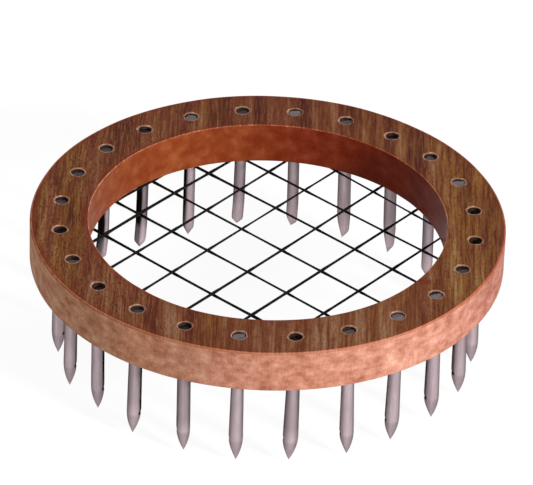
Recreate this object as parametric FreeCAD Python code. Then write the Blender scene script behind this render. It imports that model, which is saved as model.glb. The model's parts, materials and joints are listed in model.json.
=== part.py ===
import FreeCAD, Part
import math
import os

# A turned wooden ring with headless steel nails driven down through it, and a net of cord
# drawn taut from nail to nail just below the ring.
# Millimetres. +Z is up, and the Z axis is the ring's own axis.
# Z = 0 is the plane on which the tip of the longest nail stands.

os.makedirs("parts", exist_ok=True)

# Driving dimensions

ring_outer_diameter = 90.0
ring_width = 11.1               # between the inner and the outer wall
ring_thickness = 8.3
ring_edge_radius = 0.25         # the turned edges, eased with sandpaper

nail_count = 24
nail_diameter = 2.5             # of the wire
nail_swell = 0.15               # how far the forged point stands proud of the wire, on the radius
nail_reach = 20.4               # from the ring's underside to the tip of the longest nail
nail_point_length = 4.8
nail_cut_slope = 9.0            # of the cut-off end, in degrees
nail_lean_heading = 40.0        # the line along which the nails lean, in degrees from +X
nail_hole_clearance = 0.03      # on the radius
nail_hole_flare = 0.35          # chipped rim at the top of each hole

cord_diameter = 0.45
cord_clearance = 0.04           # between a cord and the nail that it goes round
cord_end_clearance = 0.3        # between the end of a cord's turn and its own straight run
net_drop = 0.3                  # from the ring's underside to the upper cords
net_layer_gap = 0.35            # between the upper and the lower cords
upper_cord_count = 9
lower_cord_count = 8

# How far each nail's tip stops short of the longest one, going anticlockwise from +X
nail_tip_rise = [
    0.9, 0.6, 0.7, 0.8, 0.9, 0.9, 1.4, 1.4, 2.3, 2.4, 1.1, 1.4,
    3.3, 1.2, 0.9, 0.7, 0.0, 1.0, 0.7, 0.6, 0.7, 0.9, 0.8, 0.6,
]

# How far each cut-off end lies below the ring's top face
nail_recess = [
    0.35, 0.60, 1.00, 0.90, 0.25, 0.50, 0.70, 0.45, 0.25, 0.50, 0.25, 0.60,
    0.40, 0.50, 0.50, 0.90, 0.70, 0.90, 0.60, 0.70, 0.25, 0.80, 0.50, 0.25,
]

# How far each nail leans off the upright as it was driven, in degrees
nail_lean = [
    0.3, 0.8, 0.7, 0.3, 0.5, 0.9, 0.8, 0.8, 0.5, -0.6, -0.1, -0.9,
    -1.0, -0.5, 0.3, -0.2, -0.6, 0.3, -0.6, 0.4, -0.1, -0.6, 0.8, -0.4,
]

# How far each nail is turned about its own axis, in degrees
nail_turn = [
    65, 55, 60, 265, 50, 160, 225, 48, 52, 260, 245, 255,
    220, 60, 180, 230, 40, 70, 232, 75, 50, 220, 65, 240,
]

# How far each forged tip lies off its nail's axis
nail_tip_offset = [
    0.10, 0.05, 0.15, 0.10, 0.20, 0.05, 0.20, 0.10, 0.05, 0.20, 0.15, 0.10,
    0.10, 0.10, 0.20, 0.05, 0.05, 0.10, 0.15, 0.15, 0.10, 0.15, 0.10, 0.10,
]

# Derived sizes

ring_outer_radius = ring_outer_diameter / 2
ring_inner_radius = ring_outer_radius - ring_width
ring_underside = nail_reach
ring_top = ring_underside + ring_thickness
ring_middle = ring_underside + ring_thickness / 2

nail_radius = nail_diameter / 2
nail_shoulder_radius = nail_radius + nail_swell
nail_circle_radius = (ring_outer_radius + ring_inner_radius) / 2
nail_pitch = 360.0 / nail_count
nail_start = nail_pitch / 4
nail_hole_radius = nail_radius + nail_hole_clearance

cord_radius = cord_diameter / 2
turn_radius = nail_radius + cord_clearance + cord_radius
upper_cord_height = ring_underside - net_drop - cord_radius
lower_cord_height = upper_cord_height - cord_diameter - net_layer_gap
net_underside = lower_cord_height - cord_radius

up = FreeCAD.Vector(0, 0, 1)


def own_value(values, index):
    """A nail's own entry in one of the lists above."""
    return values[index % len(values)]


def nail_centre(index, height):
    """The point on a nail's axis at the given height."""
    angle = math.radians(nail_start + nail_pitch * index)
    heading = math.radians(nail_lean_heading)
    slope = math.tan(math.radians(own_value(nail_lean, index)))
    shift = (ring_middle - height) * slope
    return FreeCAD.Vector(
        nail_circle_radius * math.cos(angle) + shift * math.cos(heading),
        nail_circle_radius * math.sin(angle) + shift * math.sin(heading),
        height,
    )


def set_on_nail_axis(shape, index):
    """Moves a shape made round the Z axis, at its true height, on to a nail's leaning axis."""
    heading = math.radians(nail_lean_heading)
    pivot = FreeCAD.Vector(0, 0, ring_middle)
    hinge = FreeCAD.Vector(math.sin(heading), -math.cos(heading), 0)
    shape.rotate(pivot, hinge, own_value(nail_lean, index))
    place = nail_centre(index, ring_middle)
    shape.translate(FreeCAD.Vector(place.x, place.y, 0))
    return shape


# The wooden ring, with a hole for each nail


def make_nail_hole(index):
    """A through hole with a flared rim, which both run a little past the ring's faces."""
    overrun = nail_diameter
    base = FreeCAD.Vector(0, 0, ring_underside - overrun)
    hole = Part.makeCylinder(nail_hole_radius, ring_thickness + 2 * overrun, base)
    rim_base = FreeCAD.Vector(0, 0, ring_top - nail_hole_flare)
    rim_radius = nail_hole_radius + 2 * nail_hole_flare
    rim = Part.makeCone(nail_hole_radius, rim_radius, 2 * nail_hole_flare, rim_base)
    return set_on_nail_axis(hole.fuse(rim), index)


def make_ring():
    blank = Part.makeCylinder(ring_outer_radius, ring_thickness)
    opening = Part.makeCylinder(ring_inner_radius, ring_thickness)
    ring = blank.cut(opening)
    rims = [edge for edge in ring.Edges if edge.Closed and len(edge.Vertexes) == 1]
    ring = ring.makeFillet(ring_edge_radius, rims)
    ring.translate(FreeCAD.Vector(0, 0, ring_underside))
    for index in range(nail_count):
        ring = ring.cut(make_nail_hole(index))
    return ring


# The nails: round wire, a little swollen towards a point forged with four facets


def make_nail_body(tip):
    """The round nail with a bullet's point, before its facets and its cut-off end are shaped."""
    shoulder = tip + nail_point_length
    # The bullet's arc meets the shoulder upright, so its centre lies level with the shoulder
    bend = (nail_point_length**2 / nail_shoulder_radius + nail_shoulder_radius) / 2
    half_turn = math.asin(nail_point_length / bend) / 2
    halfway = FreeCAD.Vector(
        nail_shoulder_radius - bend * (1 - math.cos(half_turn)),
        0,
        shoulder - bend * math.sin(half_turn),
    )
    apex = FreeCAD.Vector(0, 0, tip)
    outline = [
        FreeCAD.Vector(nail_shoulder_radius, 0, shoulder),
        FreeCAD.Vector(nail_radius, 0, net_underside - cord_diameter),
        FreeCAD.Vector(nail_radius, 0, ring_top),
        FreeCAD.Vector(0, 0, ring_top),
        apex,
    ]
    bullet = Part.Arc(apex, halfway, outline[0]).toShape()
    face = Part.Face(Part.Wire([bullet] + Part.makePolygon(outline).Edges))
    return face.revolve(FreeCAD.Vector(0, 0, 0), up, 360)


def make_facets(tip, offset):
    """A four-sided pyramid standing on its apex, with a square bar on top of it."""
    spread = 1.2                # the pyramid's base is this much wider than the nail
    half = nail_shoulder_radius * spread
    base = tip + nail_point_length * spread
    corners = [(half, half), (-half, half), (-half, -half), (half, -half)]
    apex = FreeCAD.Vector(offset, 0, tip)
    low = [FreeCAD.Vector(x, y, base) for x, y in corners]
    high = [FreeCAD.Vector(x, y, ring_top) for x, y in corners]
    faces = [Part.Face(Part.makePolygon(high + high[:1]))]
    for side in range(4):
        following = (side + 1) % 4
        faces.append(Part.Face(Part.makePolygon([apex, low[side], low[following], apex])))
        panel = [low[side], low[following], high[following], high[side], low[side]]
        faces.append(Part.Face(Part.makePolygon(panel)))
    return Part.makeSolid(Part.makeShell(faces))


def make_cut_off(recess):
    """What the shears take off: everything above a sloping plane near the nail's top."""
    size = 4 * nail_diameter
    waste = Part.makeBox(size, size, size, FreeCAD.Vector(-size / 2, -size / 2, 0))
    waste.rotate(FreeCAD.Vector(0, 0, 0), FreeCAD.Vector(1, 0, 0), nail_cut_slope)
    waste.translate(FreeCAD.Vector(0, 0, ring_top - recess))
    return waste


def make_nail(index):
    tip = own_value(nail_tip_rise, index)
    nail = make_nail_body(tip)
    nail = nail.common(make_facets(tip, own_value(nail_tip_offset, index)))
    nail = nail.cut(make_cut_off(own_value(nail_recess, index)))
    nail.rotate(FreeCAD.Vector(0, 0, 0), up, own_value(nail_turn, index))
    return set_on_nail_axis(nail, index)


# The net: each cord goes round one nail, straight across the opening and round another


def tangent_side(centre, way, across):
    """Which side of a run its nail's tangent point is on: +1 is left of the run."""
    along_ring = FreeCAD.Vector(-centre.y, centre.x, 0)
    left = up.cross(across)
    return way if along_ring.dot(left) > 0 else -way


def point_on_turn(centre, angle):
    return centre + FreeCAD.Vector(turn_radius * math.cos(angle), turn_radius * math.sin(angle), 0)


def make_cord(first, second, first_way, second_way, height):
    """A cord between two nails. A way of +1 passes its nail on the anticlockwise side."""
    start = nail_centre(first, height)
    finish = nail_centre(second, height)
    across = finish - start
    first_side = tangent_side(start, first_way, across)
    second_side = tangent_side(finish, second_way, across)
    # The run leans a little off the line of centres, so that it touches both turns
    lean = math.asin(turn_radius * (second_side - first_side) / across.Length)
    heading = math.atan2(across.y, across.x) + lean
    first_angle = heading + first_side * math.pi / 2
    second_angle = heading + second_side * math.pi / 2
    # Each turn stops where its end still clears the cord's own run
    room = (cord_diameter + cord_end_clearance) / turn_radius
    sweep = 2 * math.pi - math.acos(1 - room)

    first_end = first_angle + first_side * sweep
    second_end = second_angle - second_side * sweep
    first_middle = (first_angle + first_end) / 2
    second_middle = (second_angle + second_end) / 2
    begin = point_on_turn(start, first_end)
    leave = point_on_turn(start, first_angle)
    arrive = point_on_turn(finish, second_angle)
    end = point_on_turn(finish, second_end)
    first_turn = Part.Arc(begin, point_on_turn(start, first_middle), leave).toShape()
    run = Part.LineSegment(leave, arrive).toShape()
    second_turn = Part.Arc(arrive, point_on_turn(finish, second_middle), end).toShape()
    path = Part.Wire([first_turn, run, second_turn])

    forward = FreeCAD.Vector(first_side * math.sin(first_end), -first_side * math.cos(first_end), 0)
    section = Part.Wire(Part.makeCircle(cord_radius, begin, forward))
    return path.makePipeShell([section], True, False)


def make_upper_cord(index):
    """One of the cords that run nearly along Y, next to the ring."""
    first = nail_count // 4 - upper_cord_count // 2 + index
    second = nail_count - first
    return make_cord(first, second, -1, -1, upper_cord_height)


def make_lower_cord(index):
    """One of the cords that run nearly along X, under the upper ones."""
    second = nail_count // 2 - lower_cord_count // 2 + index
    first = nail_count // 2 - 1 - second
    # The cord at one edge of the net passes both of its nails on their outer side
    second_way = -1 if index == 0 else 1
    return make_cord(first, second, 1, second_way, lower_cord_height)


nodes = {"wood_ring": make_ring()}
for number in range(nail_count):
    nodes[f"nail_{number + 1:02d}"] = make_nail(number)
for number in range(upper_cord_count):
    nodes[f"upper_cord_{number + 1}"] = make_upper_cord(number)
for number in range(lower_cord_count):
    nodes[f"lower_cord_{number + 1}"] = make_lower_cord(number)

for name, shape in nodes.items():
    shape.exportStep(f"parts/{name}.step")
    box = shape.BoundBox
    print(f"{name}: {shape.Volume:.2f} mm3, z {box.ZMin:.2f} to {box.ZMax:.2f}, {shape.isValid()}")
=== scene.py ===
import bmesh
import bpy
import json
import math
import numpy as np
from functools import partial
from mathutils import Matrix, Vector


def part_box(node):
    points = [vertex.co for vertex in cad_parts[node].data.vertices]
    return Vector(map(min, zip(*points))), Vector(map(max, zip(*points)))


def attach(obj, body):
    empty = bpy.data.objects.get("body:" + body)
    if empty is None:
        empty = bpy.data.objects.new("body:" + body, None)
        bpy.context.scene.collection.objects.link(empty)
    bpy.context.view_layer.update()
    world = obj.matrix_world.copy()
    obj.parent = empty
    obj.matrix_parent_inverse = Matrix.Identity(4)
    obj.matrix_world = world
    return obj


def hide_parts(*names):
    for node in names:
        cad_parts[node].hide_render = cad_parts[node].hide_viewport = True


# A turned hardwood ring with headless wire nails and a net of black cord, dressed over its CAD model.
# Lengths here are in millimetres and angles in degrees, and are converted as they are used.

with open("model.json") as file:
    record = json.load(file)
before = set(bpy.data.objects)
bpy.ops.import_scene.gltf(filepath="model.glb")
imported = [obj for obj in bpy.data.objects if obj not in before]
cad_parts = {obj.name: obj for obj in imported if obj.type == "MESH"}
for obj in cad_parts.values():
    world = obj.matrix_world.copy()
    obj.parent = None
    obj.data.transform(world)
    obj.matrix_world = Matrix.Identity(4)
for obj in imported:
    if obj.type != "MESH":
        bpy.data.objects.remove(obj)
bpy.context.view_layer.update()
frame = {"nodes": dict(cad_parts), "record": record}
mm = 0.001  # in Blender's metres
print("frame loaded:", len(frame["nodes"]), "nodes")


# A CAD node's lowest and highest corner
def nodeBox(node):
    low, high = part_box(node)
    return np.array(low) / mm, np.array(high) / mm


ringLow, ringHigh = nodeBox("wood_ring")
ringTop, ringUnder = ringHigh[2], ringLow[2]
ringMiddle = (ringTop + ringUnder) / 2
ringOuter = (ringHigh[0] - ringLow[0]) / 2
mounts = {mount["name"]: mount for mount in frame["record"]["mounts"]}
ringInner = mounts["ring_opening_wall"]["dims"]["r_mm"]

nailNodes, upperNodes, lowerNodes = (
    sorted(node for node in frame["nodes"] if node.startswith(start))
    for start in ("nail_", "upper_cord_", "lower_cord_"))
nailCount = len(nailNodes)
nailPitch = 360 / nailCount
nailStart = nailPitch / 4
nailCircle = (ringOuter + ringInner) / 2
nailRadius = 1.25  # of the wire


# How each nail was driven: the lean off upright, the turn about its own axis, and the tip's offset
driven = dict(
    heading=40.0,
    lean=[0.3, 0.8, 0.7, 0.3, 0.5, 0.9, 0.8, 0.8, 0.5, -0.6, -0.1, -0.9,
          -1.0, -0.5, 0.3, -0.2, -0.6, 0.3, -0.6, 0.4, -0.1, -0.6, 0.8, -0.4],
    turn=[65, 55, 60, 265, 50, 160, 225, 48, 52, 260, 245, 255,
          220, 60, 180, 230, 40, 70, 232, 75, 50, 220, 65, 240],
    tipOffset=[0.10, 0.05, 0.15, 0.10, 0.20, 0.05, 0.20, 0.10, 0.05, 0.20, 0.15, 0.10,
               0.10, 0.10, 0.20, 0.05, 0.05, 0.10, 0.15, 0.15, 0.10, 0.15, 0.10, 0.10],
)


# Mesh helpers


# Adds an object to the scene
def addObject(name, data):
    thing = bpy.data.objects.new(name, data)
    bpy.context.scene.collection.objects.link(thing)
    return thing


# Vectors brought to a length of 1
def unit(vectors):
    return vectors / np.linalg.norm(vectors, axis=-1, keepdims=True)


# Points on a circle with a radius of 1: the cosine and the sine of each angle
def onCircle(angles):
    return np.stack([np.cos(angles), np.sin(angles)], axis=-1)


# A nail's place in plan at a height: on the nail circle at the ring's middle, and off it by the
# height below the middle times the tangent of the lean
def nailPlace(index, height):
    shift = (ringMiddle - height) * math.tan(math.radians(driven["lean"][index]))
    angle, heading = np.radians([nailStart + nailPitch * index, driven["heading"]])
    return nailCircle * onCircle(angle) + shift * onCircle(heading)


# Climbs evenly from 0 at one value to 1 at another, and is level beyond both
def ramp(values, start, end):
    return np.clip((values - start) / (end - start), 0, 1)


# Slow unevenness between about -1 and 1: a dozen sine waves of one length, in random directions
def unevenness(points, waveLength, seed):
    dice = np.random.default_rng(seed)
    headings = unit(dice.normal(size=(12, 3)))
    phases = dice.uniform(0, 2 * np.pi, 12)
    waves = np.sin(points @ headings.T * 2 * np.pi / waveLength + phases)
    return waves.sum(axis=-1) / 4


# Unevenness round a circle: sines of these whole numbers of waves, each with a random phase
def roundWander(angles, waveCounts, seed, circles=()):
    phases = np.random.default_rng(seed).uniform(0, 2 * np.pi, circles + (len(waveCounts),))
    waves = [np.sin(count * angles + phases[..., wave]) for wave, count in enumerate(waveCounts)]
    return sum(waves) / len(waves)


# A grid of points, rows by columns, as quads whose corners go round as row, next column, next row.
# The columns close on themselves where the grid is a tube
def gridPatch(points, slot=0, flip=False, uv=None, paintedShade=0.0):
    rows, columns = points.shape[:2]
    row, column = np.meshgrid(np.arange(rows - 1), np.arange(columns), indexing="ij")
    corners = [(row, column), (row, column + 1), (row + 1, column + 1), (row + 1, column)]
    faces = np.stack([down * columns + along % columns for down, along in corners], axis=-1).reshape(-1, 4)
    if uv is not None:
        uv = np.stack([uv[corner] for corner in corners], axis=2).reshape(-1, 4, 2)
    if flip:
        faces = faces[:, ::-1]
    paintedShade = np.broadcast_to(paintedShade, points.shape[:2]).ravel()
    return dict(points=points.reshape(-1, 3), faces=faces, slots=[slot] * len(faces), uv=uv, paintedShade=paintedShade)


# One closed piece from its patches: coinciding points are merged, which also closes the poles,
# normals are turned outwards, and edges sharper than the given angle stay crisp
def makePiece(name, patches, materials, cadNode, crispAngle):
    starts = np.cumsum([0] + [len(patch["points"]) for patch in patches[:-1]])
    faces = np.concatenate([patch["faces"] + start for patch, start in zip(patches, starts)])
    points, slots, paintedShade = (np.concatenate([patch[part] for patch in patches])
                            for part in ("points", "slots", "paintedShade"))
    mesh = bpy.data.meshes.new(name)
    mesh.from_pydata(points * mm, [], faces.tolist())
    mesh.polygons.foreach_set("material_index", slots.astype(np.int32))
    if patches[0]["uv"] is not None:
        uv = np.concatenate([patch["uv"] for patch in patches])
        layer = mesh.uv_layers.new(name="alongCord")
        layer.data.foreach_set("uv", uv.astype(np.float32).ravel())
    attribute = mesh.attributes.new("paintedShade", "FLOAT", "POINT")
    attribute.data.foreach_set("value", paintedShade.astype(np.float32))
    for material in materials:
        mesh.materials.append(material)
    work = bmesh.new()
    work.from_mesh(mesh)
    bmesh.ops.remove_doubles(work, verts=work.verts, dist=0.002 * mm)
    bmesh.ops.recalc_face_normals(work, faces=work.faces)
    for face in work.faces:
        face.smooth = True
    work.to_mesh(mesh)
    work.free()
    mesh.set_sharp_from_angle(angle=math.radians(crispAngle))
    piece = addObject(name, mesh)
    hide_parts(cadNode)
    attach(piece, "root")
    return piece


# Material helpers


# An sRGB hex colour as the linear colour that a socket takes
def linearColour(hexCode):
    channels = [int(hexCode[start:start + 2], 16) / 255 for start in (1, 3, 5)]
    linear = [value / 12.92 if value <= 0.04045 else ((value + 0.055) / 1.055) ** 2.4 for value in channels]
    return (*linear, 1.0)


# A grey level as the colour that a socket takes
def greyColour(level):
    return (level, level, level, 1.0)


# Adds a node and gives back its named output, or else the first that its settings leave in use.
# Inputs are values, hex colours or outputs to link, in order or by name. Settings are its properties,
# and a ramp's stops are hex colours or grey levels by their places
def addNode(tree, kind, inputs={}, stops={}, output=None, **settings):
    node = tree.nodes.new("ShaderNode" + kind)
    for name, value in settings.items():
        setattr(node, name, value)
    for name, value in inputs.items() if isinstance(inputs, dict) else enumerate(inputs):
        socket = node.inputs[name]
        if isinstance(value, bpy.types.NodeSocket):
            tree.links.new(value, socket)
        else:
            socket.default_value = linearColour(value) if isinstance(value, str) else value
    if stops:
        elements = node.color_ramp.elements
        while len(elements) < len(stops):
            elements.new(0.5)
        for element, (place, colour) in zip(elements, stops.items()):
            element.position = place
            element.color = linearColour(colour) if isinstance(colour, str) else greyColour(colour)
    return node.outputs[output] if output else next(filter(lambda socket: socket.enabled, node.outputs), None)


# Empties the nodes of a material or a sky, and gives back addNode for them
def emptyTree(owner):
    owner.use_nodes = True
    owner.node_tree.nodes.clear()
    return partial(addNode, owner.node_tree)


# An empty material, with addNode for it and its Object coordinates
def startMaterial(name):
    material = bpy.data.materials.new(name)
    add = emptyTree(material)
    return material, add, add("TexCoord", output="Object")


# Ends a material: a bump as deep as the finish's relief, and a shader with its roughness and shine
def endMaterial(add, colour, height, strength, finish, more):
    bump = add("Bump", {"Height": height, "Strength": strength, "Distance": finish["relief"] * mm})
    shader = add("BsdfPrincipled", {
        "Base Color": colour, "Normal": bump, "Roughness": finish["roughness"],
        "Specular IOR Level": finish["specular"], **more})
    add("OutputMaterial", [shader])


# Noise whose patches are as long as the sizes given along, across and through a grain. The shift
# tells noises apart
def sizedNoise(add, place, sizes, shift, detail, turn=0.0, warp=0.0):
    turned = add("Mapping", {
        "Vector": place, "Rotation": (0, 0, math.radians(turn)), "Location": (shift, shift, shift),
        "Scale": tuple(size * mm for size in sizes)}, vector_type="TEXTURE")
    return add("TexNoise", {"Vector": turned, "Scale": 1.0, "Detail": detail, "Distortion": warp})


# Wood: a reddish tropical hardwood such as merbau, turned on a lathe, sanded and lightly oiled.
# It gives straight red and olive brown bands with fine open pores on the face, soft blotches where
# the grain ends on a wall, and only a dull shine
woodGrain = dict(
    heading=130.4,  # the way the grain runs through the whole ring
    bands=dict(sizes=(70, 2.8, 12), shift=0.11, detail=3, warp=0.3),
    streaks=dict(sizes=(9, 0.48, 1.4), shift=0.27, detail=3),
    # Real pores are about 0.15 wide, and are drawn as coarse as they need to show
    pores=dict(sizes=(0.9, 0.24, 0.3), shift=0.43, detail=1),
    flecks=dict(sizes=(4.0, 0.26, 0.5), shift=0.71, detail=1),
    mottle=dict(shift=0.05, detail=3),
    streakShare=0.38,  # of the streaks in the shade, against the bands
    poreSlant=8.0,  # the grain is interlocked, so pores come out at a slant to the bands
    spotBorder=(0.53, 0.68),  # the noise at a pore's or fleck's edge, and where it is full
    plankWidth=90.0,  # from side to side of the plank the wood turns from red to olive and back
    oliveBands={0.00: 0.35, 0.026: 0.90, 0.042: 0.0, 0.060: 0.95, 0.10: 0.85, 0.118: 0.0,
                0.17: 0.25, 0.34: 0.20, 0.38: 0.75, 0.42: 0.18, 0.50: 0.10,
                0.80: 0.45, 0.825: 0.0, 0.86: 0.60, 0.90: 1.0, 0.955: 0.75, 1.00: 0.30},
    bandWander=1.6,  # how far a band strays to either side
    streakRange=(0.40, 0.58),  # the noise in the darkest and in the palest streaks,
    oliveStreaks=(0.32, 1.30),  # and the olive's share there
    # The pores and flecks are plainest at the plank's sides
    figureBands={0.00: 1.0, 0.22: 1.0, 0.36: 0.60, 0.74: 0.55, 0.88: 0.75, 1.00: 0.75},
    # Finish has soaked in along the edges: how far in, the heading where it is strongest, where along
    # that it starts and is full, and the least of it. Down that range of mottle it thins to soakBroken
    soakReach=1.7, soakHeading=220.0, soakRange=(-0.2, 0.9), soakLeast=0.28,
    soakMottle=(0.35, 0.60), soakBroken=0.3,
    # A flaw by the opening has taken more: its place, where it is full and ends, how rough its outline
    # is, and its strength
    stainPlace=(34.7, 4.2), stainReach=(0.32, 1.6), stainRoughness=4.0, stainShare=0.90,
    bump=0.6,
)

# In the order of the ring's slots. Paling is the heading towards which the colour pales, and how much in each
# millimetre: on the face and the outer edge it is tone in the wood, and on the opening it is painted light,
# paler where the wall faces the lamp. Tints multiply the colours from one side of the plank to the other: the
# outer wall goes from tan to pink, with a band of painted shade about a third of the way across, and the
# opening's goes to a deep red in painted shade on the half that faces away from the lamp
woodFinishes = dict(
    oiledHardwoodFace=dict(
        stops={0.34: "#420f07", 0.45: "#5a2513", 0.54: "#6e3b23", 0.67: "#8f6954"},
        olive={0.34: "#441e0a", 0.45: "#683a12", 0.54: "#7d4f22", 0.67: "#98764a"},
        pore=("#35140a", 0.72), fleck=("#96704a", 0.36),
        mottle=(0.10, (1.2, 0.8, 0.8)), paling=(325.0, 0.0011),
        soak="#6a220e", specular=0.06, roughness=0.50, relief=0.04),
    # Its tints hold the tan to pink tone, and a band of painted shade about a third of the way across
    sandedHardwoodWall=dict(
        stops={0.33: "#ab644e", 0.445: "#c68669", 0.545: "#db9c80", 0.70: "#f5c3a0"},
        tints={0.00: "#f5fef8", 0.21: "#fffff4", 0.34: "#e1dddc", 0.42: "#ebe3e7",
               0.60: "#f0e6ea", 0.84: "#f5f2fe", 0.90: "#ede7f3", 0.94: "#ded4e1",
               1.00: "#cabcca"},
        pore=("#93594a", 0.24), fleck=("#e5bb93", 0.14),
        mottle=(0.58, (2.8, 2.3, 1.4)), specular=0.08, roughness=0.70, relief=0.05),
    # Its paling is painted light on the side that faces the lamp, and its tints are painted shade on the
    # other half
    burnishedHardwoodOpening=dict(
        stops={0.30: "#6a200e", 0.43: "#783114", 0.57: "#853e1d", 0.75: "#98542f"},
        tints={0.15: "#f3f6f7", 0.27: "#ffffff", 0.43: "#f7ebf0",
               0.55: "#efc6e3", 0.76: "#f4c6e3", 0.87: "#e4b1bc"},
        pore=("#5c1e0f", 0.10), fleck=("#9a5634", 0.10),
        mottle=(0.70, (3.4, 2.6, 2.4)), paling=(165.0, 0.0026),
        specular=0.05, roughness=0.45, relief=0.012),
    # Paler than the face: bare worn edge, and partly a painted highlight where the rounded edge catches the
    # lamp
    easedHardwoodOuterEdge=dict(
        stops={0.36: "#a76544", 0.46: "#c87f60", 0.54: "#d78f6f", 0.66: "#e9af8b"},
        tints={0.00: "#ffffff", 0.10: "#f5fbf6", 0.25: "#dee3e1", 0.62: "#e3dce6",
               0.82: "#ebe0e9", 0.91: "#d3bdb7", 0.97: "#c1a294"},
        pore=("#6b3419", 0.25), fleck=("#c49068", 0.25),
        mottle=(0.40, (1.6, 1.0, 0.8)), paling=(12.0, 0.0005),
        soak="#87431a", specular=0.10, roughness=0.50, relief=0.03),
    bareHardwoodHoleRim=dict(
        stops={0.32: "#6a4433", 0.46: "#896350", 0.54: "#9a7460", 0.68: "#bd9b8a"},
        pore=("#633e2e", 0.20), fleck=("#c6ab98", 0.20),
        mottle=(0.70, (1.0, 0.8, 0.8)), specular=0.10, roughness=0.75, relief=0.04),
    # Much paler than the face and the opening: a worn edge, and partly a painted highlight along it
    easedHardwoodInnerEdge=dict(
        stops={0.34: "#854530", 0.46: "#a4654c", 0.54: "#b97b60", 0.66: "#d8a489"},
        tints={0.10: "#efefe7", 0.20: "#dabfaa", 0.42: "#d7ad8b",
               0.70: "#c49073", 0.80: "#e7bfaa", 0.88: "#ffffff"},
        pore=("#7c4331", 0.20), fleck=("#e4bda6", 0.25),
        mottle=(0.60, (1.6, 1.0, 0.8)), specular=0.10, roughness=0.55, relief=0.03),
    # The bore is near black as painted shade down in the hole
    paintedShadeHardwoodBore=dict(
        stops={0.34: "#1c100c", 0.46: "#2b1a14", 0.54: "#3a251c", 0.66: "#553a2d"},
        pore=("#150b08", 0.30), fleck=("#604538", 0.20),
        mottle=(0.50, (1.0, 0.8, 0.8)), specular=0.10, roughness=0.80, relief=0.04),
)


# How far a point lies along a level heading from the ring's middle, as a share of the span
def alongHeading(add, place, heading, span):
    turned = add("Mapping", {
        "Vector": place, "Rotation": (0, 0, math.radians(heading)),
        "Scale": (span * mm,) * 3}, vector_type="TEXTURE")
    return add("SeparateXYZ", [turned])


# How much finish has soaked in: most at the ring's two edges and none beyond the soak's reach, more
# towards one heading, broken up by the mottle, and in the flaw at least the flaw's own
def soakMask(add, place, mottle):
    grain = woodGrain
    level = add("VectorMath", [place, (1, 1, 0)], operation="MULTIPLY")
    radius = add("VectorMath", [level], operation="LENGTH")
    mask = 0.0
    for edge, inwards in ((ringOuter, -1), (ringInner, 1)):
        end = edge + inwards * grain["soakReach"]
        soaked = add("MapRange", [radius, end * mm, edge * mm])
        mask = add("Math", [mask, soaked], operation="MAXIMUM")
    towards = alongHeading(add, place, grain["soakHeading"], ringOuter)
    for value, span, least in ((towards, grain["soakRange"], grain["soakLeast"]),
                               (mottle, grain["soakMottle"], grain["soakBroken"])):
        part = add("MapRange", [value, *span, least])
        mask = add("Math", [mask, part], operation="MULTIPLY")
    middle = tuple(side * mm for side in grain["stainPlace"]) + (0,)
    away = add("VectorMath", [level, middle], operation="DISTANCE")
    uneven = add("Math", [mottle, 0.5], operation="SUBTRACT")
    roughness = grain["stainRoughness"] * mm
    away = add("Math", [uneven, roughness, away], operation="MULTIPLY_ADD")
    core, end = grain["stainReach"]
    stain = add("MapRange", [away, end * mm, core * mm, 0, grain["stainShare"]])
    return add("Math", [mask, stain], operation="MAXIMUM")


# One solid block of wood under every finish: the same grain is cut through by each surface
def makeWood(name, finish):
    grain = woodGrain
    material, add, place = startMaterial(name)
    bands, streaks, flecks = (sizedNoise(add, place, turn=grain["heading"], **grain[part])
                              for part in ("bands", "streaks", "flecks"))
    pores = sizedNoise(add, place, turn=grain["heading"] + grain["poreSlant"], **grain["pores"])
    mottleShare, mottleSizes = finish["mottle"]
    mottle = sizedNoise(add, place, mottleSizes, turn=grain["heading"], **grain["mottle"])
    shade = add("Mix", {0: grain["streakShare"], 2: bands, 3: streaks})
    shade = add("Mix", {0: mottleShare, 2: shade, 3: mottle})
    # On the opening the paling is painted light, and the tints there and on the outer wall hold painted shade
    # as well as tone
    if "paling" in finish:
        heading, rise = finish["paling"]
        paling = alongHeading(add, place, heading, 1 / rise)
        shade = add("Math", [shade, paling], operation="ADD")
    colour = add("ValToRGB", [shade], finish["stops"])
    figure = 1.0
    if "tints" in finish or "olive" in finish:
        crosswise = alongHeading(add, place, grain["heading"] - 90, grain["plankWidth"])
    if "tints" in finish:
        tinted = add("Math", [crosswise, 0.5], operation="ADD")
        tint = add("ValToRGB", [tinted], finish["tints"])
        colour = add("Mix", {0: 1.0, 6: colour, 7: tint}, data_type="RGBA", blend_type="MULTIPLY")
    if "olive" in finish:
        olive = add("ValToRGB", [shade], finish["olive"])
        stray = 2 * grain["bandWander"] / grain["plankWidth"]
        wander = add("MapRange", [bands, 0, 1, 0.5 - stray, 0.5 + stray])
        crosswise = add("Math", [crosswise, wander], operation="ADD")
        share = add("ValToRGB", [crosswise], grain["oliveBands"])
        streaked = add("MapRange", [streaks, *grain["streakRange"], *grain["oliveStreaks"]])
        share = add("Math", [share, streaked], operation="MULTIPLY", use_clamp=True)
        colour = add("Mix", {0: share, 6: colour, 7: olive}, data_type="RGBA")
        figure = add("ValToRGB", [crosswise], grain["figureBands"])
    for mask, (hue, share) in ((flecks, finish["fleck"]), (pores, finish["pore"])):
        spots = add("MapRange", [mask, *grain["spotBorder"], 0, share])
        spots = add("Math", [spots, figure], operation="MULTIPLY")
        colour = add("Mix", {0: spots, 6: colour, 7: hue}, data_type="RGBA")
    if "soak" in finish:
        soaked = soakMask(add, place, mottle)
        colour = add("Mix", {0: soaked, 6: colour, 7: finish["soak"]}, data_type="RGBA")
    height = add("Math", [streaks, pores], operation="SUBTRACT")
    endMaterial(add, colour, height, grain["bump"], finish, {"IOR": 1.5})
    return material
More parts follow.
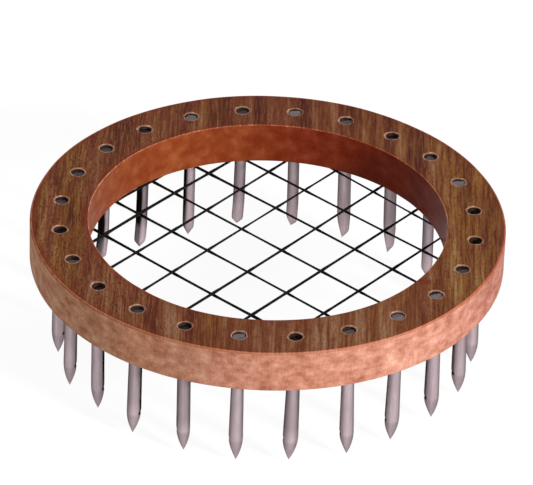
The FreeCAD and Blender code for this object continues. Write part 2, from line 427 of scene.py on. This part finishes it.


# Steel: plain drawn wire that has dulled in the air, cut into nails without heads.
# It gives a satin mid grey with faint draw lines. The shank carries painted dark reflection in a strip along
# one side and painted shade on its edges, point and upper part, and the cut end painted shade of its hole
steelFinishes = dict(
    # The dark colour in each finish is the painted shade and dark reflection that the mesh marks
    drawnWireSteel=dict(
        stops={0.25: "#aa999d", 0.70: "#d2bfc3"}, paintedShade="#171211",
        lineSizes=(0.35, 0.35, 9), metallic=1.0, specular=0.5, roughness=0.60, relief=0.01, grazing=0.0),
    # The cut end is darker than the shank, as painted shade of its hole
    shearedWireEndSteel=dict(
        stops={0.25: "#584e51", 0.70: "#877d81"}, paintedShade="#141113",
        lineSizes=(0.9, 0.2, 0.4), metallic=0.90, specular=0.3, roughness=0.60, relief=0.01, grazing=0.6),
)
steelWear = dict(
    lines=dict(shift=0.31, detail=1),
    clouds=dict(sizes=(1.8, 1.8, 5.0), shift=0.57, detail=3),
    cloudShare=0.65,  # of the clouds in the shade, against the lines
    bump=0.25,
)


# The mesh carries how much painted shade and dark reflection there is at each point, from 0 to 1, and the
# clouds break it up
def makeSteel(name, finish):
    material, add, place = startMaterial(name)
    lines = sizedNoise(add, place, finish["lineSizes"], **steelWear["lines"])
    clouds = sizedNoise(add, place, **steelWear["clouds"])
    shade = add("Mix", {0: steelWear["cloudShare"], 2: lines, 3: clouds})
    colour = add("ValToRGB", [shade], finish["stops"])
    paintedShade = add("Attribute", output="Fac", attribute_name="paintedShade")
    patchy = add("Math", [clouds, 0.5], operation="ADD")
    paintedShade = add("Math", [paintedShade, patchy], operation="MULTIPLY", use_clamp=True)
    colour = add("Mix", {0: paintedShade, 6: colour, 7: finish["paintedShade"]}, data_type="RGBA")
    endMaterial(add, colour, lines, steelWear["bump"], finish, {
        "Metallic": finish["metallic"], "Specular Tint": greyColour(finish["grazing"])})
    return material


# Cord: a three ply black polyester thread, twisted and waxed.
# It gives a near black line with a faint shine on the top of each ply
cordFinish = dict(
    stops={0.40: "#030303", 0.75: "#0b0a0a"},
    filaments=(18.0, 1.2, 1.0),  # how many run round the cord and along each millimetre
    wear=dict(sizes=(3.0, 3.0, 3.0), shift=0.2, detail=2),
    wearShare=0.4,  # of the wear in the shade, against the filaments
    roughness=0.60, specular=0.08, bump=0.4, relief=0.01,
)


# The filaments follow the twist, since the mesh carries the place round and along the cord
def makeCordMaterial(name, finish):
    material, add, place = startMaterial(name)
    along = add("UVMap", uv_map="alongCord")
    stretched = add("Mapping", {"Vector": along, "Scale": finish["filaments"]})
    filaments = add("TexNoise", {"Vector": stretched, "Scale": 1.0})
    wear = sizedNoise(add, place, **finish["wear"])
    shade = add("Mix", {0: finish["wearShare"], 2: filaments, 3: wear})
    colour = add("ValToRGB", [shade], finish["stops"])
    endMaterial(add, colour, filaments, finish["bump"], finish, {"IOR": 1.55})
    return material


woodMaterials = [makeWood(*entry) for entry in woodFinishes.items()]
woodSlots = {name: slot for slot, name in enumerate(woodFinishes)}
steelMaterials = [makeSteel(*entry) for entry in steelFinishes.items()]
waxedCord = makeCordMaterial("waxedPolyesterCord", cordFinish)
print("materials made")


# The wooden ring

ringLook = dict(
    outerEdge=0.34,  # radius of the eased outer edge on top
    underEdge=0.16,  # of the one below
    innerEdge=0.16,  # and of the opening's
    edgeWander=0.05,  # how much those change round the ring, in waves of these numbers
    edgeWaves=(3, 7, 16, 29),
    holeClearance=0.04,  # between a nail and its hole
    rimFlare=0.12,  # chipped rim at the top of each hole
    underFlare=0.05,  # and at the bottom
    rimDepth=1.3,  # of the cone below the chipped rim, against the flare
    chipWaves=(1, 2, 5, 9),  # of the chips round a rim
    chipSpread=(0.8, 0.6),  # the flare's share that every rim has, and the share that changes
    bareWidth=0.22, bareSpread=0.5,  # wood left bare round the rim, and how much that changes
    dentDepth=0.05,  # the face is pressed down round a driven nail
    dentReach=0.6,
    crowding=1.2,  # how much closer the face's rings lie by the holes
    sway=0.03,  # unevenness of the turned and sanded surfaces, and how far it stays inside
    swayInside=1.2,
    swayWaves=((19, 4, 5), (23, 3, 8)),  # sideways and up: its length, where it is full, its seed
    coneRings=(0.0, 0.35, 0.7, 1.0), boreRings=(0.0, 0.12, 0.5, 1.0),
    arcSteps=16, sideSteps=14, faceSteps=12, edgeSteps=6, wallSteps=14, crispAngle=40,
)


# Radius of an eased edge at an angle: its mean and a wander of sines
def edgeRadius(angles, mean, seed):
    return mean + ringLook["edgeWander"] * roundWander(angles, ringLook["edgeWaves"], seed)


# A flat face of the ring in sectors, one round each nail. Grid lines go straight from the hole's rim
# to the sector's outline, with its corners midway between nails. The dent is its depth times e to the
# minus distance over its reach
def ringFace(height, holeRadius, flare, outerEdge, edgeSeeds):
    look = ringLook
    arc = np.linspace(-0.5, 0.5, look["arcSteps"] + 1)
    side = np.linspace(0, 1, look["sideSteps"] + 1)
    turn = np.concatenate([arc[:-1], np.full(len(side) - 1, 0.5), arc[:0:-1], np.full(len(side) - 1, -0.5)])
    depth = np.concatenate([np.zeros(len(arc) - 1), side[:-1], np.ones(len(arc) - 1), side[:0:-1]])
    angles = np.radians(nailStart + nailPitch * (np.arange(nailCount)[:, None] + turn))
    outside = ringOuter - edgeRadius(angles, outerEdge, edgeSeeds[0])
    inside = ringInner + edgeRadius(angles, look["innerEdge"], edgeSeeds[1])
    reach = outside + (inside - outside) * depth
    outline = reach[..., None] * onCircle(angles)
    centre = np.array([nailPlace(index, height) for index in range(nailCount)])[:, None, :]
    away = outline - centre
    heading = np.arctan2(away[..., 1], away[..., 0])
    chips = roundWander(heading, look["chipWaves"], 31, (nailCount, 1))
    rim = holeRadius + flare * (look["chipSpread"][0] + look["chipSpread"][1] * chips)
    forward = unit(away)
    rimPoints = centre + rim[..., None] * forward
    barePoints = centre + (rim + look["bareWidth"] * (1 + look["bareSpread"] * chips))[..., None] * forward
    steps = np.linspace(0, 1, look["faceSteps"]) ** look["crowding"]
    spread = barePoints[:, None] + (outline - barePoints)[:, None] * steps[None, :, None, None]
    flat = np.concatenate([rimPoints[:, None], spread], axis=1)
    fromRim = np.linalg.norm(flat - rimPoints[:, None], axis=-1)
    fading = (1 - np.concatenate([[0], steps]))[None, :, None]
    points = np.concatenate([flat, np.full(flat.shape[:3] + (1,), height)], axis=-1)
    if height > ringMiddle:
        points[..., 2] -= look["dentDepth"] * np.exp(-fromRim / look["dentReach"]) * fading
    return points, heading


# A wall of the ring: each column runs over the top edge's quarter circle, down the straight wall and
# round the lower edge's quarter circle. Sign is 1 for the outer wall and -1 for the opening
def ringWall(radius, sign, topEdge, underEdge, angles):
    quarter = np.linspace(0, np.pi / 2, ringLook["edgeSteps"] + 1)[:, None]
    straight = np.linspace(0, 1, ringLook["wallSteps"] + 1)[1:-1, None]
    wall = (ringTop - topEdge) + (ringUnder + underEdge - ringTop + topEdge) * straight
    reach = np.concatenate([radius - sign * topEdge * (1 - np.sin(quarter)), np.full_like(wall, radius),
                            radius - sign * underEdge * (1 - np.cos(quarter))])
    height = np.concatenate([ringTop - topEdge * (1 - np.cos(quarter)), wall,
                             ringUnder + underEdge * (1 - np.sin(quarter))])
    return np.dstack([reach * np.cos(angles), reach * np.sin(angles), height])


# The ring sways a little as a whole: points move in and out and up and down by slow unevenness,
# always inwards from the CAD's faces, and less the nearer they are to the middle of the wood
def swayRing(points):
    reach = np.linalg.norm(points[:, :2], axis=-1, keepdims=True)
    outwards = np.column_stack([points[:, :2] / reach, np.zeros(len(points))])
    moves = []
    offsets = reach - nailCircle, points[:, [2]] - ringMiddle
    for offset, (length, full, seed) in zip(offsets, ringLook["swayWaves"]):
        inwards = np.minimum(unevenness(points, length, seed)[..., None] - ringLook["swayInside"], 0)
        moves.append(inwards * np.where(offset > 0, 1.0, -1.0) * ramp(np.abs(offset), 0, full))
    return points + ringLook["sway"] * (moves[0] * outwards + moves[1] * np.array([0, 0, 1.0]))


# The ring: a sector of each face and a hole for every nail, and the two walls with their edges
def makeRing():
    look, slots = ringLook, woodSlots
    holeRadius = nailRadius + look["holeClearance"]
    topFace, heading = ringFace(ringTop, holeRadius, look["rimFlare"], look["outerEdge"], (1, 2))
    bottomFace, _ = ringFace(ringUnder, holeRadius, look["underFlare"], look["underEdge"], (3, 4))
    coneRings, boreRings = (np.array(look[part])[:, None, None] for part in ("coneRings", "boreRings"))
    coneEnd = ringTop - look["rimFlare"] * look["rimDepth"]
    patches = []
    for index in range(nailCount):
        # The hole goes from the chipped rim over a short cone to the drilled bore, then straight down
        rim, low = topFace[index, 0], bottomFace[index, 0]
        around = nailPlace(index, coneEnd) + holeRadius * onCircle(heading[index])
        bore = np.column_stack([around, np.full(len(around), coneEnd)])
        patches += [
            gridPatch(topFace[index, 1:], slots["oiledHardwoodFace"]),
            gridPatch(topFace[index, :2], slots["bareHardwoodHoleRim"]),
            gridPatch(bottomFace[index], slots["oiledHardwoodFace"], flip=True),
            gridPatch(rim + (bore - rim) * coneRings, slots["bareHardwoodHoleRim"], flip=True),
            gridPatch(bore + (low - bore) * boreRings, slots["paintedShadeHardwoodBore"], flip=True),
        ]
    columns = nailCount * look["arcSteps"]
    angles = np.radians(nailStart + nailPitch * (np.arange(columns) / look["arcSteps"] - 0.5))
    outerTop, outerUnder, innerTop, innerUnder = (
        edgeRadius(angles, look[part], seed)
        for part, seed in (("outerEdge", 1), ("underEdge", 3), ("innerEdge", 2), ("innerEdge", 4)))
    outer = ringWall(ringOuter, 1, outerTop, outerUnder, angles)
    inner = ringWall(ringInner, -1, innerTop, innerUnder, angles)
    edge = look["edgeSteps"]
    patches += [
        gridPatch(outer[:edge + 1], slots["easedHardwoodOuterEdge"], flip=True),
        gridPatch(outer[edge:], slots["sandedHardwoodWall"], flip=True),
        gridPatch(inner[:edge + 1], slots["easedHardwoodInnerEdge"]),
        gridPatch(inner[edge:], slots["burnishedHardwoodOpening"]),
    ]
    for patch in patches:
        patch["points"] = swayRing(patch["points"])
    return makePiece("woodRing", patches, woodMaterials, "wood_ring", look["crispAngle"])


# The nails

nailLook = dict(
    neckHeight=18.4,  # where the swelling towards the point ends
    pointLength=5.4,
    facetSlopes=(0.34, 0.44),  # how fast the four pressed facets open, as distance over height
    # Worn and badly pressed points have their own: the four slopes, and how far the tip is off centre
    oddPoints={5: (0.50, 0.55, 0.50, 0.55, 0.10), 6: (0.24, 0.60, 0.66, 0.60, 0.30),
               7: (0.80, 0.60, 0.28, 0.60, -0.26), 8: (1.20, 0.70, 0.50, 0.70, -0.24),
               9: (0.90, 0.95, 0.80, 0.95, 0.26), 10: (0.52, 0.56, 0.54, 0.58, 0.02),
               11: (0.80, 0.66, 0.48, 0.66, 0.28), 12: (0.80, 1.20, 1.70, 1.20, 0.42)},
    softness=14, oddSoftness=6,  # of the edges between facets and shank: more is crisper
    cutSlope=9.0, backSlope=24.0,  # the two slopes that the shears leave on the cut end
    cutDrop=0.02,  # how far that end stays below the CAD's
    ridgePlace=0.35,  # of the ridge between the slopes, as a share of the radius
    # What the dies leave at the shoulder: a nick, as a share of the radius, and a spot of painted shade in it
    nickDepth=0.07, nickShade=1.4, nickLevel=4.9, nickHeight=0.40,
    unevenShank=0.005, shankWaves=3.5, unevenEnd=0.03, endWaves=0.9, endBurr=0.05,
    columns=48, pointRows=30, rowsPastPoint=1.1, pointCrowding=1.15, shankRows=16,
    neckRings=(0.25, 0.6, 0.9, 0.985),
    endRings=(1.0, 0.96, 0.86, 0.66, 0.44, 0.22, 0.0), crispAngle=38,
    # Radius at the ring and the swelling below it, nail by nail
    neck=[1.26, 1.24, 1.25, 1.24, 1.23, 1.08, 1.20, 1.26, 1.12, 1.12, 1.10, 1.12,
          1.08, 1.24, 1.24, 1.24, 1.20, 1.21, 1.26, 1.26, 1.17, 1.25, 1.18, 1.18],
    swell=[0.16, 0.14, 0.12, 0.10, 0.12, 0.02, 0.04, 0.08, 0.02, 0.02, 0.05, 0.02,
           0.02, 0.10, 0.10, 0.08, 0.06, 0.06, 0.10, 0.04, 0.17, 0.20, 0.17, 0.20],
    # Painted shade on the pressed point, and on the shank of each nail, full this far above the shoulder
    pointShade=0.16, shankShadeRise=3.0,
    shankShade=[0, 0.05, 0, 0, 0, 0.24, 0.16, 0, 0.10, 0.25, 0.05, 0.35,
                0, 0, 0, 0, 0, 0, 0.20, 0.24, 0.06, 0.20, 0, 0],
    # Painted shade on the cut end, then painted dark reflection in a strip on one side of the shank, and how
    # wide that strip is to each side
    endShade=[0.15, 0.60, 0.92, 0.90, 0.10, 0.45, 0.85, 0.50, 0.05, 0.60, 0.10, 0.88,
              0.60, 0.62, 0.60, 0.88, 0.50, 0.85, 0.55, 0.90, 0.15, 0.90, 0.50, 0.10],
    paintedStripShade=[0.8, 0.85, 0.9, 0.7, 0.5, 0.3, 0.3, 0.4, 0.4, 0.6, 1.1, 1.1,
               1.2, 0.9, 0.6, 0.6, 0.8, 0.9, 0.8, 0.3, 0.3, 0.4, 0.6, 0.8],
    sideWidth=[54, 58, 52, 45, 50, 60, 50, 30, 30, 40, 72, 92,
               112, 80, 45, 45, 40, 42, 40, 24, 24, 30, 40, 44],
    turnedAway=(4, 5, 6, 14, 15, 16, 17, 18),
    sideHeading=215.0,  # the strips face this way, or the opposite way on those nails
    stripEdge=12.0, stripBlur=0.18,  # how soft a strip's edge is: an angle and a share of its width
    stripEnd=0.9, stripFade=1.2,  # how far below the shoulder it ends, and over what length
    oddFade=(0.45, 15.0),  # on a worn point: its share at the tip, and the height that adds 1
    # Painted shade on two opposite sides of each nail, which darkens its edges
    limbHeading=220.0, limbShade=0.50, limbWidth=1.3, limbLeast=0.4,
)


# Moves points made round an upright axis on to a nail's own: a turn by the lean about a level line
# through the ring's middle, then a shift to the nail's place
def ontoNail(points, index):
    heading = math.radians(driven["heading"])
    hinge = Vector((math.sin(heading), -math.cos(heading), 0))
    lean = np.array(Matrix.Rotation(math.radians(driven["lean"][index]), 3, hinge))
    pivot = np.array([0, 0, ringMiddle])
    place = np.append(nailPlace(index, ringMiddle), 0)
    return (points - pivot) @ lean.T + pivot + place


# A nail's reach from its axis, by direction and height over the tip. The round body follows a
# bullet's arc up to the shoulder and narrows evenly above it. Four planes through the tip cut it
# to a point, and the reach is the least of body and planes, rounded off where they meet
def nailReach(index, around, height, neckRise):
    look = nailLook
    swell = look["swell"][index]
    shoulder = look["neck"][index] + swell
    length = look["pointLength"]
    bend = (length ** 2 / shoulder + shoulder) / 2
    arc = shoulder - bend + np.sqrt(bend ** 2 - np.clip(length - height, 0, length) ** 2)
    slopes = np.random.default_rng(100 + index).uniform(*look["facetSlopes"], 4)
    aside, softness = driven["tipOffset"][index], look["softness"]
    if index in look["oddPoints"]:
        *slopes, aside = look["oddPoints"][index]
        softness = look["oddSoftness"]
        arc = np.maximum(arc, shoulder * ramp(height, 0, shoulder / max(slopes)))
    body = arc - swell * ramp(height, length, neckRise)
    total = np.maximum(body, 1e-4) ** -softness
    for facet, slope in enumerate(slopes):
        facing = np.maximum(np.cos(around - facet * np.pi / 2), 1e-3)
        plane = np.maximum(slope * height, 1e-4) / facing
        total = total + plane ** -softness
    return total ** (-1 / softness), aside * ramp(height, length, 0)


# How much painted shade there is, by direction and height over the tip: a strip of painted dark reflection on
# one side, painted shade on two opposite sides, a spot in the shoulder's nick, and painted shade on the point
# and up the shank. The nick comes with it
def nailPaintedShade(index, around, heights):
    look = nailLook
    stripHeading = math.radians(look["sideHeading"]) + (np.pi if index in look["turnedAway"] else 0)
    fromStrip = np.abs((around - stripHeading + np.pi) % (2 * np.pi) - np.pi)
    width = math.radians(look["sideWidth"][index])
    blur = math.radians(look["stripEdge"]) + look["stripBlur"] * width
    strip = np.clip((width - fromStrip) / blur + 0.5, 0, 1)
    overNick = heights - look["nickLevel"]
    if index in look["oddPoints"]:
        atShoulder = onPoint = np.zeros_like(heights)
        fading = np.clip(look["oddFade"][0] + heights / look["oddFade"][1], 0, 1)
    else:
        atShoulder = np.exp(-(overNick / look["nickHeight"]) ** 2)
        onPoint = look["pointShade"] * ramp(overNick, 0, -0.5)
        fading = np.clip((overNick + look["stripEnd"]) / look["stripFade"], 0, 1)
    # Painted shade on two opposite sides, darkening the nail's edges
    limbFalloff = np.abs(np.cos(around - math.radians(look["limbHeading"]))) ** look["limbWidth"]
    limbDarkening = look["limbShade"] * limbFalloff * np.clip(heights / look["pointLength"], look["limbLeast"], 1)
    # The strip is painted dark reflection along one side of the shank
    paintedShade = np.maximum(look["paintedStripShade"][index] * strip * fading, limbDarkening)
    # A spot of painted shade in the shoulder's nick
    paintedShade = np.maximum(paintedShade, look["nickShade"] * strip * atShoulder)
    # Painted shade on the point and up the shank towards the ring
    paintedShade = paintedShade + onPoint + look["shankShade"][index] * ramp(overNick, 0, look["shankShadeRise"])
    return paintedShade, look["nickDepth"] * atShoulder * strip


# A nail from rings of points round its own axis: the point, the shank, the neck up to the cut, and the
# cut end, which closes over the shank in shrinking rings. Then it is turned, and put in its place
def makeNail(index):
    look = nailLook
    low, high = nodeBox(nailNodes[index])
    tip = low[2]
    turn = math.radians(driven["turn"][index])
    around = np.linspace(0, 2 * np.pi, look["columns"], endpoint=False)[None, :]
    forward = onCircle(around)
    neck = look["neck"][index]
    rise, fall = (math.tan(math.radians(look[part])) for part in ("cutSlope", "backSlope"))
    cutBase = high[2] - nailRadius * rise - look["cutDrop"]
    ridge = look["ridgePlace"] * nailRadius

    # The height of the cut end's two slopes
    def cutHeight(y):
        return cutBase + np.where(y < ridge, y * rise, ridge * rise - (y - ridge) * fall)

    crowded = np.linspace(0, 1, look["pointRows"])[:, None] ** look["pointCrowding"]
    pointHeights = look["pointLength"] * look["rowsPastPoint"] * crowded
    neckRise = look["neckHeight"] - tip
    climb = np.linspace(0, 1, look["shankRows"])[1:, None]
    shankHeights = pointHeights[-1] + (neckRise - pointHeights[-1]) * climb
    cut = cutHeight(neck * forward[..., 1]) - tip
    upperHeights = neckRise + (cut - neckRise) * np.array(look["neckRings"])[:, None]
    level = np.concatenate([pointHeights, shankHeights])
    heights = np.concatenate([np.broadcast_to(level, (len(level), look["columns"])), upperHeights])
    reach, offset = nailReach(index, around, heights, neckRise)
    paintedShade, nick = nailPaintedShade(index, around + turn, heights)
    reach = reach * (1 - nick)
    reach[0] = 0
    shell = np.dstack([reach[..., None] * forward, tip + heights])
    shell[..., 0] += offset
    uneven = unevenness(shell[1:] + index * 7, look["shankWaves"], 40)
    shell[1:, :, :2] *= 1 + look["unevenShank"] * uneven[..., None]
    cap = np.array(look["endRings"])[:, None, None] * forward * neck
    uneven = unevenness(np.dstack([cap, cap[..., :1]]) + index * 5, look["endWaves"], 60)
    capHeight = cutHeight(cap[..., 1]) + look["unevenEnd"] * uneven
    capHeight[0] -= look["endBurr"]
    cap = np.dstack([cap, capHeight])
    shell = np.concatenate([shell, cap[:1]])
    paintedShade = np.concatenate([paintedShade, paintedShade[-1:]])
    spin = np.array(Matrix.Rotation(turn, 3, "Z"))
    # The cut end takes its nail's painted shade
    patches = [gridPatch(ontoNail(shell @ spin.T, index), slot=0, paintedShade=paintedShade),
               gridPatch(ontoNail(cap @ spin.T, index), slot=1, paintedShade=look["endShade"][index])]
    return makePiece(f"nail{index + 1:02d}", patches, steelMaterials, nailNodes[index],
                     look["crispAngle"])


# The net

cordLook = dict(
    turnClearance=0.04,  # between the cord and the nail
    turnDrop=0.44,  # each turn lies below the one before
    plies=3, plyPitch=1.2, plyDepth=0.04, plyRoundness=0.8,
    tailLift=0.35, tailShare=0.06,  # how far the cut end stands off the nail
    # All cords sway a little in thickness, as the twist tightens and loosens
    sway=0.09, swayLength=14.0,
    knot=0.27, knotLength=1.15,  # it thickens where it is stuck to a cord of the other layer
    easing=2.5,  # the length over which all this begins
    step=0.20, columns=15, crispAngle=60,
    endSteps=(0.05, 0.03), endShrink=(0, 0.7),  # the rows that close a cord
)
# Each layer's turns round a nail, and how its cords thicken towards their second nail or thin towards
# their middle. Then each cord's thickness against that of its turns, and how far it bows sideways
upperLayer = dict(
    turns=1.08, taper=0.16, waist=0, seed=200,
    thickness=[0.98, 1.04, 1.06, 1.14, 1.12, 0.92, 1.05, 1.24, 1.12],
    bow=[0, 0, 0.19, 0.04, 0.23, -0.05, 0.21, -0.25, -0.22],
)
lowerLayer = dict(
    turns=2.1, taper=0, waist=0.15, seed=300,
    thickness=[1.00, 1.02, 1.06, 1.07, 1.08, 1.20, 1.06, 1.00],
    bow=[0, 0.06, -0.18, 0.03, -0.20, 0.27, 0, 0],
)


# Which side of its run a cord's turn is on: 1 is left. A way of 1 passes the nail anticlockwise of it,
# which is to the left where the run goes outwards there
def tangentSide(centre, way, across):
    return way if centre @ across > 0 else -way


# The middle line of a cord: a helix round the first nail that rises to the net's level, a straight
# run that touches both turns, and a helix down round the second nail. Each free end lifts off
def cordPath(nails, ways, height, radius, turns, bow):
    look = cordLook
    turnRadius = nailRadius + look["turnClearance"] + radius
    start, finish = (nailPlace(nail, height) for nail in nails)
    across = finish - start
    sides = tangentSide(start, ways[0], across), tangentSide(finish, ways[1], across)
    lean = math.asin(turnRadius * (sides[1] - sides[0]) / np.linalg.norm(across))
    heading = math.atan2(across[1], across[0]) + lean
    count = int(turns * 2 * np.pi * turnRadius / look["step"])
    share = np.linspace(1, 0, count)
    lift = look["tailLift"] * ramp(share, 1 - look["tailShare"], 1) ** 2
    reach, level = turnRadius + lift, height - look["turnDrop"] * turns * share
    stretches = []
    for centre, side, way in ((start, sides[0], 1), (finish, sides[1], -1)):
        angle = heading + side * np.pi / 2 + way * side * share * turns * 2 * np.pi
        stretches.append(np.column_stack([centre + reach[:, None] * onCircle(angle), level]))
    leave, arrive = stretches[0][-1], stretches[1][-1]
    runSteps = int(np.linalg.norm(arrive - leave) / look["step"])
    along = np.linspace(0, 1, runSteps)[1:-1, None]
    run = leave + (arrive - leave) * along
    run[:, :2] += bow * np.sin(np.pi * along) ** 2 * onCircle(heading + np.pi / 2)
    return np.concatenate([stretches[0], run, stretches[1][::-1]]), count


# A cord's own numbers, with its middle line: its girth and height are those of its CAD node
def planCord(node, layer, number, nails, ways):
    low, high = nodeBox(node)
    radius, height = (high[2] - low[2]) / 2, (high[2] + low[2]) / 2
    path, turnSteps = cordPath(nails, ways, height, radius, layer["turns"], layer["bow"][number])
    return dict(layer, node=node, radius=radius, path=path, turnSteps=turnSteps,
                thickness=layer["thickness"][number], seed=layer["seed"] + number)


# The cord's surface: round each point of the middle line, a section of three lobes that twists with
# the length. It closes at both ends with rows that shrink to a point
def makeCord(cord, crossing):
    look = cordLook
    path, radius, turnSteps = cord["path"], cord["radius"], cord["turnSteps"]
    forward = unit(np.gradient(path, axis=0))
    path, forward = (np.concatenate([line[:1], line[:1], line, line[-1:], line[-1:]])
                     for line in (path, forward))
    side = unit(np.cross([0, 0, 1], forward))
    upward = np.cross(forward, side)
    endSteps = np.array(look["endSteps"])[:, None]
    path[:2] -= forward[:2] * endSteps
    path[-2:] += forward[-2:] * endSteps[::-1]
    length = np.concatenate([[0], np.cumsum(np.linalg.norm(np.diff(path, axis=0), axis=1))])
    angles = np.linspace(0, 2 * np.pi, look["columns"], endpoint=False)
    twist = 2 * np.pi * length / look["plyPitch"]
    lobes = np.abs(np.cos(look["plies"] / 2 * (angles[None, :] - twist[:, None]))) ** look["plyRoundness"]
    reach = radius * (1 - look["plyDepth"] * (1 - lobes))
    runStart, runEnd = length[turnSteps + 2], length[-turnSteps - 3]
    onRun = np.clip(np.minimum(length - runStart, runEnd - length) / look["easing"], 0, 1)
    fromMiddle = 2 * (length - runStart) / (runEnd - runStart) - 1
    change = cord["thickness"] - 1 + cord["taper"] * fromMiddle + cord["waist"] * (2 * fromMiddle ** 2 - 1)
    change += look["sway"] * unevenness(path, look["swayLength"], cord["seed"])
    fromCrossing = np.linalg.norm(path[:, None, :2] - crossing[None], axis=-1).min(axis=1)
    change += look["knot"] * np.exp(-(fromCrossing / look["knotLength"]) ** 2)
    reach *= 1 + (onRun * change)[:, None]
    reach *= np.concatenate([look["endShrink"], np.ones(len(path) - 4), look["endShrink"][::-1]])[:, None]
    points = path[:, None] + reach[..., None] * (onCircle(angles) @ np.stack([side, upward], axis=1))
    around, along = np.meshgrid(np.linspace(0, 1, look["columns"] + 1), length)
    patch = gridPatch(points, uv=np.stack([around - along / look["plyPitch"], along], axis=-1))
    return makePiece(cord["node"].replace("_cord_", "Cord"), [patch], [waxedCord], cord["node"],
                     look["crispAngle"])


ring = makeRing()
print("ring made:", len(ring.data.polygons), "faces")

nails = [makeNail(index) for index in range(nailCount)]
print("nails made:", len(nails))

upperCords, lowerCords = [], []
for number, node in enumerate(upperNodes):  # these run nearly along Y, next to the ring
    first = nailCount // 4 - len(upperNodes) // 2 + number
    second = (nailCount - first) % nailCount
    upperCords.append(planCord(node, upperLayer, number, (first, second), (-1, -1)))
for number, node in enumerate(lowerNodes):  # and these nearly along X, under the others
    second = nailCount // 2 - len(lowerNodes) // 2 + number
    first = (nailCount // 2 - 1 - second) % nailCount
    ways = (1, -1 if number == 0 else 1)  # the first passes both of its nails on their outer side
    lowerCords.append(planCord(node, lowerLayer, number, (first, second), ways))
cords = []
for layer, other in ((upperCords, lowerCords), (lowerCords, upperCords)):
    runs = [cord["path"][cord["turnSteps"]:-cord["turnSteps"], :2] for cord in other]
    cords += [makeCord(cord, np.concatenate(runs)) for cord in layer]
print("cords made:", len(cords))


# Floor, light and camera

studio = dict(
    floorSize=4000, floorDrop=0.1, floorGrey=0.30, floorGlow=0.92, floorShade=0.10,
    skyLow=0.48, skyHigh=0.66,
    keyAzimuth=360.0, keyElevation=23.0, keyStrength=3.5, keySoftness=9.0,
)
camera = dict(azimuth=40.42, elevation=33.05, roll=1.95, distance=1056.9, lens=376.9, sensor=36,
              aimDrop=5.15, aimLeft=0.14)


# Ends a floor or a sky: one shader for what the eye sees, straight or in a reflection, and another for
# the light that falls on the object
def endStage(add, output, unseen, white):
    seen = 0.0
    for kind in ("Camera", "Glossy", "Transmission"):
        ray = add("LightPath", output=f"Is {kind} Ray")
        seen = add("Math", [seen, ray], operation="MAXIMUM")
    add(output, [add("MixShader", [seen, unseen, white])])


# The vector towards a heading and an elevation, whose level part is the elevation's cosine
def direction(azimuth, elevation):
    return Vector((*math.cos(elevation) * onCircle(azimuth), math.sin(elevation)))


# The floor looks white, keeps a faint shadow, and sends less light on to the object than white paper
def makeFloor():
    size = studio["floorSize"] * mm
    drop = -studio["floorDrop"] * mm
    mesh = bpy.data.meshes.new("floor")
    mesh.from_pydata([(x * size, y * size, drop) for x, y in ((-1, -1), (1, -1), (1, 1), (-1, 1))], [],
                     [(0, 1, 2, 3)])
    material = bpy.data.materials.new("matteWhitePaper")
    add = emptyTree(material)
    bounce = add("BsdfDiffuse", {"Color": greyColour(studio["floorGrey"])})
    paper = add("BsdfDiffuse", {"Color": greyColour(studio["floorShade"])})
    glow = add("Emission", {"Strength": studio["floorGlow"]})
    white = add("AddShader", [paper, glow])
    endStage(add, "OutputMaterial", bounce, white)
    mesh.materials.append(material)
    floor = addObject("floor", mesh)


# A soft even sky, white where it is seen, and one broad low key lamp
def makeLight():
    world = bpy.data.worlds.new("studioSky")
    bpy.context.scene.world = world
    add = emptyTree(world)
    outwards = add("TexCoord", output="Generated")
    upwards = add("SeparateXYZ", [outwards], output="Z")
    sky = add("ValToRGB", [upwards], {0.0: studio["skyLow"], 1.0: studio["skyHigh"]})
    lamp = add("Background", {"Color": sky})
    white = add("Background", {"Color": greyColour(1.0)})
    endStage(add, "OutputWorld", lamp, white)
    key = addObject("keyLamp", bpy.data.lights.new("keyLamp", "SUN"))
    key.data.energy = studio["keyStrength"]
    key.data.angle = math.radians(studio["keySoftness"])
    toLamp = direction(math.radians(studio["keyAzimuth"]), math.radians(studio["keyElevation"]))
    key.rotation_mode = "QUATERNION"
    key.rotation_quaternion = toLamp.to_track_quat("Z", "Y")


# The camera looks down at the ring's middle from the front right, through a long lens
def makeCamera():
    azimuth, elevation, roll = (math.radians(camera[part]) for part in ("azimuth", "elevation", "roll"))
    back = direction(azimuth - math.pi / 2, elevation)
    right = direction(azimuth, 0)
    upward = back.cross(right)
    rolledRight = math.cos(roll) * right + math.sin(roll) * upward
    rolledUp = -math.sin(roll) * right + math.cos(roll) * upward
    aim = Vector((0, 0, (ringTop - camera["aimDrop"]) * mm)) - right * camera["aimLeft"] * mm
    view = addObject("camera", bpy.data.cameras.new("camera"))
    view.data.sensor_width = camera["sensor"]
    view.data.lens = camera["lens"]
    turned = Matrix((rolledRight, rolledUp, back)).transposed().to_4x4()
    view.matrix_world = Matrix.Translation(aim + back * camera["distance"] * mm) @ turned
    bpy.context.scene.camera = view


makeFloor()
makeLight()
makeCamera()
bpy.context.scene.view_settings.view_transform = "Standard"
print("floor, light and camera made")
